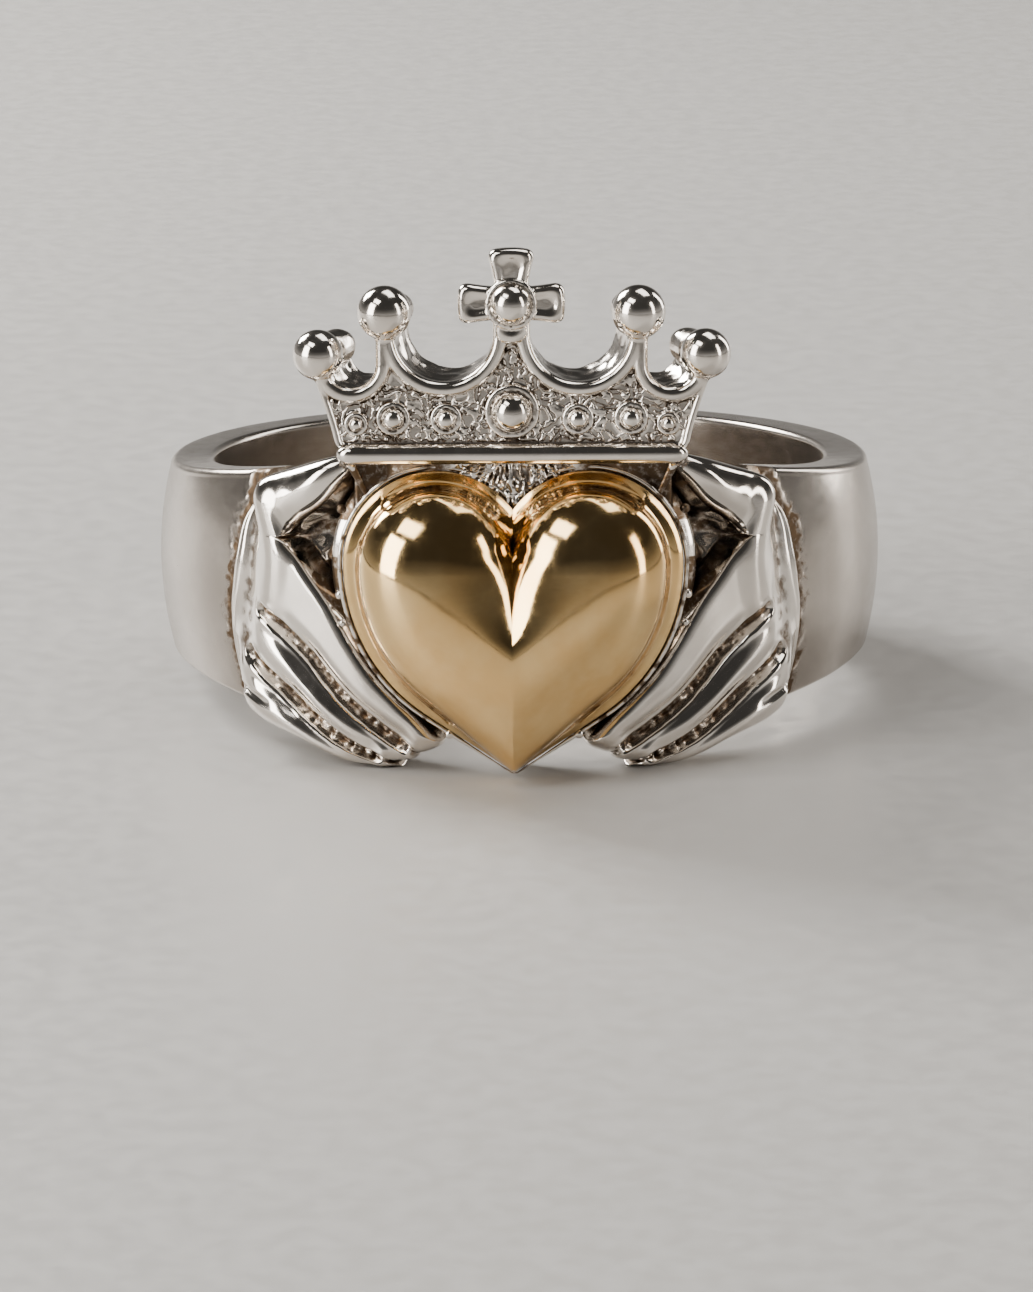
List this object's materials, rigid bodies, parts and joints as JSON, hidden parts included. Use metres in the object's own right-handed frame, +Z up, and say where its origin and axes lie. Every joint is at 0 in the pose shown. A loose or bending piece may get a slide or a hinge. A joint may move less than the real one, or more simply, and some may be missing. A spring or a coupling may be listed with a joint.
{
  "type": "claddagh ring",
  "caption": "Worn silver finger ring whose two cast hands clasp a domed gold heart under a beaded crown topped by a cross.",
  "frame": {"origin": "centre of the ring's box in plan, on the surface that it lies on", "axes": "+Z up off the surface, near the finger hole's axis; -Y the way that the heart faces; +X to the right as the heart is seen"},
  "size_m": [0.0238, 0.0262, 0.0168],
  "materials": {
    "silver": "polished",
    "satin_silver": "satin",
    "gold": "polished"
  },
  "bodies": {
    "root": {"silver_ring": "silver", "gold_heart": "gold"}
  },
  "joints": []
}
